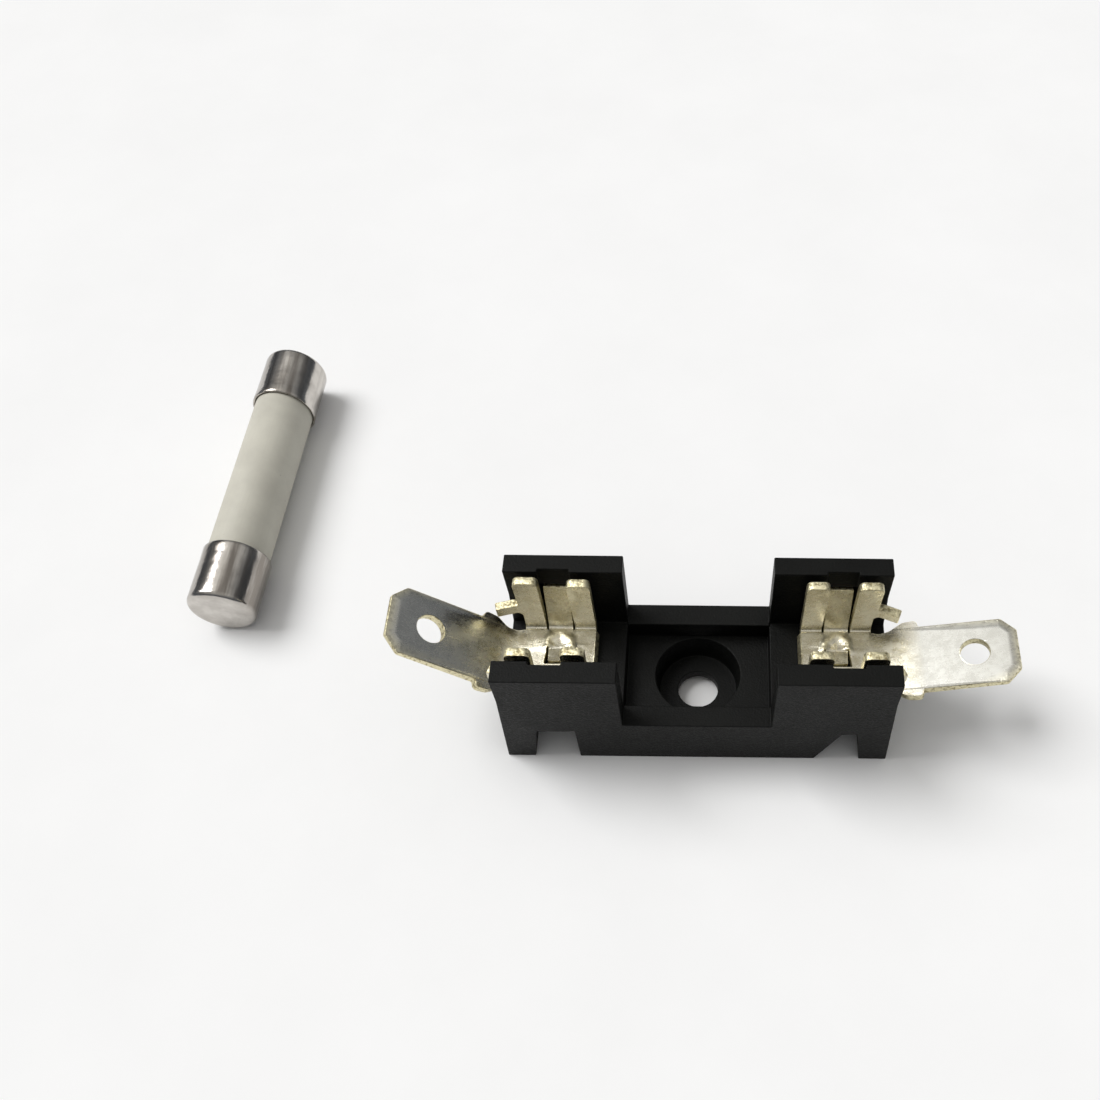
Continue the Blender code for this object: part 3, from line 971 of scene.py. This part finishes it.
    def _plan(self) -> list[Point]:
        """Outline of the flat terminal."""
        low, high = self.middle - self.panel_half, self.middle + self.panel_half
        edge = self._on_blank(self.panel_top, self.panel_radius, self.panel_angle)
        chamfer_rounding, tip_rounding = self.tip_roundings
        half = [
            (self.inner_end, self.seam, 0.0), (low, self.seam, 0.0), (low, edge, self.panel_corner),
            (high, edge, self.panel_corner), (high, self.seam, 0.0), (self.outer_end, self.seam, 0.0),
            *((self.outer_end + past, width, radius) for past, width, radius in self.neck_corners),
            (self.shoulder_end, self.blade_half, self.shoulder_fillet),
            (self.blade_tip - self.tip_chamfer, self.blade_half, chamfer_rounding),
            (self.blade_tip, self.tip_half, tip_rounding),
        ]
        return rounded_outline([(x, -y, radius) for x, y, radius in half] + half[::-1])

    def _slot(self) -> list[Point]:
        """Outline of the slot that frees the tongue on three sides."""
        root, tip, wide = self.tongue_root, self.tongue_tip, self.tongue_half
        end, corner = tip - self.slot_end_width, self.tongue_corner
        half = [(wide, root, 0.0), (wide - corner, tip, corner)]
        around = [(wide + self.slot_root_width, root, 0.0), (wide + self.slot_width, end, corner)]
        corners = ([(-x, y, radius) for x, y, radius in around] + around[::-1]
                   + half + [(-x, y, radius) for x, y, radius in half[::-1]])
        return rounded_outline([(x + self.middle, y, radius) for x, y, radius in corners], 3)

    def _hole(self) -> list[Point]:
        """Outline of the blade's hole."""
        return arc((self.hole_at, 0.0), (self.hole_radius, self.hole_radius), 0.0, 360.0,
                   self.hole_steps)[:-1]

    def _score_terminal(self, piece: Object) -> None:
        """Cuts the blank finely where it bends or is pressed."""
        bend, (tip_from, tip_to) = self.neck.start, self.tip_scored
        x_lines = even_steps(self.middle - self.pressed_half, self.middle + self.pressed_half, PRESS_STEP)
        x_lines += even_steps(bend, bend + self.neck.length, PRESS_STEP)
        x_lines += even_steps(self.blade_tip - tip_from, self.blade_tip - tip_to, PRESS_STEP)
        fold_end = self.fold_start + self.panel_radius * math.radians(self.panel_angle)
        folds = even_steps(self.fold_start, fold_end, FOLD_STEP)
        y_lines = even_steps(self.tongue_tip - self.pressed_below_tip, self.fold_start, PRESS_STEP)
        self.shop.score(piece, x_lines, y_lines + folds + [-place for place in folds])

    def _press(self, piece: Object) -> None:
        """Lifts the tongue, raises the arch at its root, slants the inner end and coins the tip."""
        thickness = self.shop.thickness
        worn = piece.data.attributes[CUT_EDGE].data
        for vertex in piece.data.vertices:
            place = vertex.co
            left = self._coin(place.x, place.y)
            place.z *= left
            if place.x < self.inner_end + self.slant_run:
                place.x -= self.end_slant * (thickness / 2 - place.z) / thickness
            lift = self._pressing(place.x - self.middle, place.y)
            place.z += lift
            rubbed = (1 - left) / (1 - self.coined_share)
            if place.y > self.tongue_root - self.rubbed_below_root:
                rubbed = max(rubbed, hold(lift / self.arch_height))
            worn[vertex.index].value = max(worn[vertex.index].value, self.rubbed_share * rubbed)

    def _coin(self, x: float, y: float) -> float:
        """Share of the thickness left at a point, less than 1 near the blade's tip."""
        if x <= self.blade_tip - self.coined_from:
            return 1.0
        slope = Vector((self.blade_half - self.tip_half, self.tip_chamfer)).normalized()
        chamfer = slope.dot(Vector((self.blade_tip - x, self.tip_half - abs(y))))
        inward = min(self.blade_tip - x, max(chamfer, 0.0))
        return self.coined_share + (1 - self.coined_share) * hold(inward / self.coined)

    def _pressing(self, x: float, y: float) -> float:
        """Height that pressing adds to the floor at a point, measured from the clip's middle."""
        beside, below = self.tongue_slack
        above = y - self.tongue_root
        if abs(x) > self.pressed_half or not self.tongue_tip - below < y < self.fold_start:
            return 0.0
        if abs(x) < self.tongue_half + beside and above < 0.0:
            share = -above / (self.tongue_root - self.tongue_tip)
            dip = self.tongue_dip * (1 - smooth(share * self.tongue_dip_fade))
            return self.tongue_rise * share * share - dip
        turn = math.atan2(above, x)
        uneven = sum(size * math.sin(count * turn + phase) for size, count, phase in self.arch_waves)
        ring = math.hypot(x / self.arch_half_axes[0], above / self.arch_half_axes[1]) + uneven
        ridge = self.arch_height * math.exp(-((ring - 1) / self.arch_ridge) ** 2)
        dip = self.arch_dip * (1 - smooth(ring * self.arch_dip_fade))
        return (ridge - dip) * smooth((above + self.arch_fade[0]) / self.arch_fade[1])

    def finger(self, row: Row, place: Place) -> Object:
        """Makes one finger with its fold, and for an outer one its lug.

        Args:
            row: Which side of the fuse it is on.
            place: Where it stands in its row.

        Returns:
            The finished piece.
        """
        node = f"{self.end.value}_{row.value}_{place.value}_finger"
        angle = 90.0 + self.finger_lean + self.set_apart.get(node, 0.0)
        piece = self.shop.blank(f"{node}_spring", [self._finger_plan(place, angle)])
        fold_end = self.fold_start + self.finger_radius * math.radians(angle)
        lug_end = self.lug_start + self.lug_radius * math.radians(self.lug_angle)
        x_lines = even_steps(self.lug_start, lug_end, FOLD_STEP) if place is Place.OUTER else []
        flat_from, flat_to = (fold_end + past for past in self.finger_scored)
        y_lines = even_steps(self.fold_start, fold_end, FINGER_STEP)
        y_lines += even_steps(flat_from, flat_to, FLAT_STEP)
        self.shop.score(piece, x_lines, y_lines)
        self.shop.chart(piece)
        if place is Place.OUTER:
            self.shop.fold(piece, FoldLine.ALONG_Y, self.lug_start, self.lug_radius, self.lug_angle)
        self.shop.fold(piece, FoldLine.ALONG_X, self.fold_start, self.finger_radius, angle)
        settle(piece, self.mirror @ Matrix.Diagonal((1, -1 if row is Row.FRONT else 1, 1, 1)))
        even_shading(piece)
        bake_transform(piece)
        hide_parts(node)
        return piece

    def _finger_plan(self, place: Place, angle: float) -> list[Point]:
        """Outline of a flat finger.

        Args:
            place: Where the finger stands in its row; an outer one has a lug.
            angle: Angle of the fold at its root, in degrees.

        Returns:
            The outline's points.
        """
        top, lug_low, lug_high = (self._on_blank(height, self.finger_radius, angle)
                                  for height in (self.finger_top, self.lug_low, self.lug_high))
        corner = self.finger_corner
        if place is Place.INNER:
            low, high = self.inner_end, self.inner_end + self.finger_width
            return rounded_outline([
                (low, self.seam, 0.0), (high, self.seam, 0.0),
                (high + self.finger_widening / 2, top, corner), (low, top, corner)])
        low, high = self.outer_end - self.finger_width, self.outer_end
        wide = high + self.finger_widening
        return rounded_outline([
            (low, self.seam, 0.0), (high, self.seam, 0.0),
            (high - self.finger_waist, lug_low, self.lug_fillet),
            (self.lug_tip, lug_low, self.lug_corner), (self.lug_tip, lug_high, self.lug_corner),
            (wide - self.finger_waist, lug_high, self.lug_corner),
            (wide, top, corner), (low, top, corner)])


# --- Block ----------------------------------------------------------------------------------------
@dataclass
class BaseBlock:
    """The moulded block, with the small edge rounds of its mould."""

    node: Object
    finish: Material
    edge_round: float = 0.18
    round_steps: int = 3
    edge_angle: float = 28.0
    merge_distance: float = 0.002
    flat_angle: float = 1.0

    def build(self) -> Object:
        """Copies the block's solid, merges it, rounds its edges and paints it.

        Returns:
            The finished piece.
        """
        piece = new_piece("moulded_block", self.node.data.copy())
        piece.data.name = piece.name
        rebuild(piece, self._merge)
        paint(piece, self.finish)
        bevel = piece.modifiers.new("mould_rounds", "BEVEL")
        bevel.width = self.edge_round * MM
        bevel.segments = self.round_steps
        bevel.limit_method = "ANGLE"
        bevel.angle_limit = math.radians(self.edge_angle)
        bevel.miter_outer = "MITER_ARC"
        bevel.harden_normals = False
        plain_mesh(piece)
        piece.data.shade_smooth()
        even_shading(piece)
        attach(piece, "holder")
        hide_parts(self.node.name)
        return piece

    def _merge(self, builder: BMesh) -> None:
        """Merges loose triangles into the flat faces that they make up."""
        bmesh.ops.remove_doubles(builder, verts=builder.verts, dist=self.merge_distance * MM)
        bmesh.ops.dissolve_limit(builder, angle_limit=math.radians(self.flat_angle),
                                 verts=builder.verts, edges=builder.edges)


# --- Fuse -----------------------------------------------------------------------------------------
TURNED_WELD = 0.0005


def turned_tree() -> NodeTree:
    """Builds the tree that turns a half section about the X axis.

    The geometry that goes in is the half section, as points in order with X along the axis and
    Y as the radius. Named inputs: Points, how many there are; Steps, straight pieces in a turn;
    Finish.

    Returns:
        The tree.
    """
    sketch = NodeSketch("turned_piece")
    points = sketch.size("Points", "NodeSocketInt")
    steps = sketch.size("Steps", "NodeSocketInt")
    grid = sketch.add("GeometryNodeMeshGrid", {
        "Size X": 1.0, "Size Y": 1.0, "Vertices X": sketch.total(steps, 1.0), "Vertices Y": points})
    charted = sketch.add("GeometryNodeStoreNamedAttribute", {
        "Geometry": grid.outputs["Mesh"], "Name": TURNED_MAP, "Value": grid.outputs["UV Map"]},
        data_type="FLOAT2", domain="CORNER")
    index = sketch.add("GeometryNodeInputIndex").outputs["Index"]
    column = sketch.maths("FLOOR", sketch.maths("DIVIDE", sketch.total(index, 0.5), points))
    row = sketch.less(index, sketch.times(column, points))
    angle = sketch.maths("DIVIDE", sketch.times(column, 2 * math.pi), steps)
    place = sketch.add("GeometryNodeInputPosition").outputs["Position"]
    section = sketch.add("GeometryNodeSampleIndex", {
        "Geometry": sketch.entry.outputs["Geometry"], "Value": place, "Index": row},
        data_type="FLOAT_VECTOR", domain="POINT")
    along, radius, _ = sketch.parts(section.outputs["Value"])
    ring = sketch.add("ShaderNodeCombineXYZ", {
        "X": along, "Y": sketch.times(radius, sketch.maths("COSINE", angle)),
        "Z": sketch.times(radius, sketch.maths("SINE", angle))}).outputs["Vector"]
    placed = sketch.add("GeometryNodeSetPosition", {
        "Geometry": charted.outputs["Geometry"], "Position": ring})
    merged = sketch.add("GeometryNodeMergeByDistance", {
        "Geometry": placed.outputs["Geometry"], "Distance": TURNED_WELD})
    return sketch.close(merged.outputs["Geometry"])


@dataclass
class CartridgeFuse:
    """The ceramic tube and its two drawn caps, on one axis; sizes in millimetres.

    The cap's end is dished: each of its points is a depth and a radius. Its wall swells to a
    bead near the mouth, from bead_run's first distance over its second.
    """

    nickel: Material
    ceramic: Material
    inside: dict[str, Material]
    cap_radius: float = 3.175
    cap_length: float = 6.3
    cap_wall: float = 0.245
    cap_corner: float = 0.55
    cap_dish: tuple[Point, ...] = ((0.02, 0.0), (0.01, 1.6), (0.0, 2.325))
    bead: float = 0.03
    bead_run: Point = (1.3, 0.9)
    shading_band: float = 1.0
    lip: float = 0.12
    tube_radius: float = 2.88
    tube_bore: float = 2.0
    tube_round: float = 0.12
    half_length: float = 15.875
    clearance: float = 0.3
    end_gap: float = 0.1
    steps: int = 96
    arc_steps: int = 8
    lip_steps: int = 4
    sharp_angle: float = 50.0

    def build(self) -> list[Object]:
        """Makes the tube and the caps.

        Returns:
            The finished pieces.
        """
        near, far = (sum(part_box(f"fuse_cap_{end}"), Vector()) / 2 / MM for end in ("near", "far"))
        along = (far - near).normalized()
        lie = Matrix.Translation((near + far) / 2) @ along.to_track_quat("X", "Z").to_matrix().to_4x4()
        tree = turned_tree()
        pieces = [self._turn(tree, "ceramic_tube", self._tube_section(), self.ceramic, lie,
                             "fuse_tube")]
        for end, turn in (("far", 0.0), ("near", math.pi)):
            place = lie @ Matrix.Rotation(turn, 4, "Z")
            pieces.append(self._turn(tree, f"nickel_cap_{end}", self._cap_section(), self.nickel, place,
                                     f"fuse_cap_{end}"))
        return pieces

    def _turn(self, tree: NodeTree, name: str, section: list[Point], finish: Material, place: Matrix,
              node: str) -> Object:
        """Turns a half section into a piece.

        Args:
            tree: The turning tree.
            name: The piece's name.
            section: Its half section, as distance along the axis and radius.
            finish: Its material.
            place: Where it goes.
            node: The solid that it stands for.

        Returns:
            The finished piece.
        """
        mesh = bpy.data.meshes.new(name)
        edges = [(index, index + 1) for index in range(len(section) - 1)]
        mesh.from_pydata([(x, radius, 0.0) for x, radius in section], edges, [])
        piece = new_piece(name, mesh)
        shape_with(piece, tree, {"Points": len(section), "Steps": self.steps, "Finish": finish})
        settle(piece, place)
        piece.data.set_sharp_from_angle(angle=math.radians(self.sharp_angle))
        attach(piece, "fuse")
        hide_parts(node)
        return piece

    def _cap_section(self) -> list[Point]:
        """Half section of a cap, from the middle of its end, round the mouth, to its inside."""
        end, corner = self.half_length, self.cap_corner
        mouth = end - self.cap_length
        outside = self.cap_radius - self.bead
        inner = self.cap_radius - self.cap_wall
        bead_from, run = self.bead_run
        shares = [step / self.arc_steps for step in range(1, self.arc_steps + 1)]
        return [
            *((end - depth, radius) for depth, radius in self.cap_dish),
            *arc((end - corner, outside - corner), (corner, corner), 0.0, 90.0, self.arc_steps),
            (end - corner - self.shading_band, outside), (mouth + bead_from, outside),
            *((mouth + bead_from - run * share, outside + self.bead * math.sin(math.pi * share / 2))
              for share in shares),
            *arc((mouth + self.lip, (self.cap_radius + inner) / 2), (self.lip, self.cap_wall / 2),
                 90.0, 270.0, self.lip_steps),
            (end - self.clearance, inner), (end - self.clearance, 0.0),
        ]

    def _tube_section(self) -> list[Point]:
        """Closed half section of the tube, with small rounds at its ends."""
        end, small = self.half_length - self.clearance - self.end_gap, self.tube_round
        quarter = [(end - small, self.tube_radius), (end, self.tube_radius - small),
                   (end, self.tube_bore + small), (end - small, self.tube_bore)]
        left = [(-x, radius) for x, radius in quarter[::-1]]
        return [*left[1:], *quarter, *left[:2]]

    def paint_inside(self, nodes: dict[str, Object]) -> None:
        """Paints the solids that lie inside the fuse.

        Args:
            nodes: The frame's solids by name.
        """
        for name, finish in self.inside.items():
            nodes[name].material_slots[0].material = finish


# --- Studio ---------------------------------------------------------------------------------------
@dataclass(frozen=True)
class BroadKey:
    """The main light: distant, and broad enough for soft shadows.

    Attributes:
        toward: The way to the light from the object.
        breadth: Angle that the light fills, in degrees.
        strength: Its strength in watts per square metre.
    """

    toward: Triple = (-0.57, 0.21, 0.79)
    breadth: float = 36.0
    strength: float = 2.3

    def build(self) -> None:
        """Makes the light."""
        light = bpy.data.lights.new("key_light", "SUN")
        light.angle = math.radians(self.breadth)
        light.energy = self.strength
        lamp = new_piece("key_light", light)
        lamp.rotation_euler = Vector(self.toward).to_track_quat("Z", "Y").to_euler()


@dataclass(frozen=True)
class SoftSky:
    """Light from all round: dim at the horizon, brighter overhead, with one bright soft patch."""

    horizon: Colour = (0.115, 0.125, 0.14)
    zenith: Colour = (0.60, 0.59, 0.57)
    dome: Point = (0.25, 1.0)
    patch: Colour = (0.42, 0.415, 0.40)
    patch_toward: Triple = (-0.28, 0.47, 0.84)
    patch_core: float = 8.0
    patch_edge: float = 24.0
    backdrop: Colour = (0.88, 0.88, 0.88)

    def world(self) -> World:
        """Builds the sky; the camera itself sees a plain backdrop in its place.

        Returns:
            The world.
        """
        world = bpy.data.worlds.new("soft_sky")
        world.use_nodes = True
        sketch = Sketch(world.node_tree)
        generated = sketch.add("ShaderNodeTexCoord").outputs["Generated"]
        way = sketch.add("ShaderNodeVectorMath", {0: generated}, operation="NORMALIZE").outputs["Vector"]
        height = sketch.span(sketch.parts(way)[2], *self.dome, interpolation_type="SMOOTHSTEP")
        toward = Vector(self.patch_toward).normalized()
        facing = sketch.add("ShaderNodeVectorMath", {0: way, 1: toward}, operation="DOT_PRODUCT")
        edge, core = (math.cos(math.radians(angle)) for angle in (self.patch_edge, self.patch_core))
        inside = sketch.span(facing.outputs["Value"], edge, core, interpolation_type="SMOOTHSTEP")
        both = sketch.add("ShaderNodeVectorMath", {
            0: sketch.blend(height, self.horizon, self.zenith), 1: sketch.blend(inside, BLACK, self.patch)})
        seen = sketch.add("ShaderNodeLightPath").outputs["Is Camera Ray"]
        colour = sketch.blend(seen, both.outputs["Vector"], self.backdrop)
        sketch.feed(world.node_tree.nodes["Background"].inputs["Color"], colour)
        return world


@dataclass
class Studio:
    """Pale floor, soft lights and the camera; places in millimetres."""

    floor: Material
    eye: Triple = (0.84, -44.53, 85.35)
    target: Triple = (0.95, -2.54, 5.1)
    roll: float = 0.76
    focal: float = 32.98
    sensor: float = 36.0
    shift: Point = (-0.1438, 0.1329)
    clip_start: float = 1.0
    floor_half: float = 3000.0
    sky: SoftSky = SoftSky()
    key: BroadKey = BroadKey()

    def build(self) -> None:
        """Makes the floor, the key light, the sky and the camera."""
        self._floor()
        self.key.build()
        scene = bpy.context.scene
        scene.world = self.sky.world()
        scene.view_settings.view_transform = "Standard"
        self._camera(scene)

    def _floor(self) -> None:
        """Lays the pale floor under the object."""
        half = self.floor_half * MM
        mesh = bpy.data.meshes.new("floor")
        corners = [(-half, -half, 0.0), (half, -half, 0.0), (half, half, 0.0), (-half, half, 0.0)]
        mesh.from_pydata(corners, [], [(0, 1, 2, 3)])
        mesh.materials.append(self.floor)
        new_piece("floor", mesh)

    def _camera(self, scene: Scene) -> None:
        """Stands the scene's camera at its place."""
        camera = bpy.data.cameras.new("camera")
        camera.lens = self.focal
        camera.sensor_width = self.sensor
        camera.shift_x, camera.shift_y = self.shift
        camera.clip_start = self.clip_start * MM
        eye = Vector(self.eye)
        aim = (Vector(self.target) - eye).to_track_quat("-Z", "Y").to_matrix().to_4x4()
        turn = Matrix.Rotation(math.radians(self.roll), 4, "Z")
        scene.camera = new_piece("camera", camera)
        scene.camera.matrix_world = Matrix.Translation(eye * MM) @ aim @ turn


def clips(shop: SheetShop) -> list[Object]:
    """Makes both clips, each with its own bend at the neck, its lugs and its fingers' small sets.

    Args:
        shop: Where their blanks are made.

    Returns:
        The finished pieces.
    """
    necks = {End.LEFT: NeckBend(17.2, 3.0, 40.0), End.RIGHT: NeckBend(16.55, 6.0, 13.4)}
    lug_angles = {End.LEFT: 15.0, End.RIGHT: 22.0}
    set_apart = {"left_back_outer_finger": -1.6, "left_front_inner_finger": 1.0}
    pieces: list[Object] = []
    for end in End:
        clip = StampedClip(end, shop, necks[end], lug_angle=lug_angles[end], set_apart=set_apart)
        pieces += clip.build()
    return pieces


def fuse_fillings() -> dict[str, Material]:
    """Finishes for the solids inside the fuse, by node."""
    tin = GrainyFill("tin_solder", (0.62, 0.62, 0.6), (0.45, 0.45, 0.44), 1.0, 0.4, 4.0).material()
    wire = GrainyFill("fuse_wire", (0.8, 0.78, 0.74), (0.6, 0.58, 0.55), 1.0, 0.3, 8.0).material()
    sand = GrainyFill("quartz_sand", (0.72, 0.66, 0.55), (0.45, 0.38, 0.28), 0.0, 0.85, 6.0).material()
    return {"fuse_wire": wire, "solder_joint_near": tin, "solder_joint_far": tin, "sand_filler": sand}


def main() -> None:
    """Builds the holder's looks around its solids, piece by piece."""
    logging.basicConfig(level=logging.INFO, format="%(message)s")
    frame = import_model()
    nodes = frame["nodes"]
    Studio(PaleFloor().material()).build()
    pieces = [BaseBlock(nodes["base_block"], MouldedBlack().material()).build()]
    pieces += clips(SheetShop(thickness=0.8, edge=0.06, brass=PlatedBrass().material()))
    fuse = CartridgeFuse(NickelCap().material(), UnglazedCeramic().material(), fuse_fillings())
    pieces += fuse.build()
    fuse.paint_inside(nodes)
    for piece in pieces:
        LOG.info("%s: %d faces", piece.name, len(piece.data.polygons))


if __name__ == "__main__":
    main()
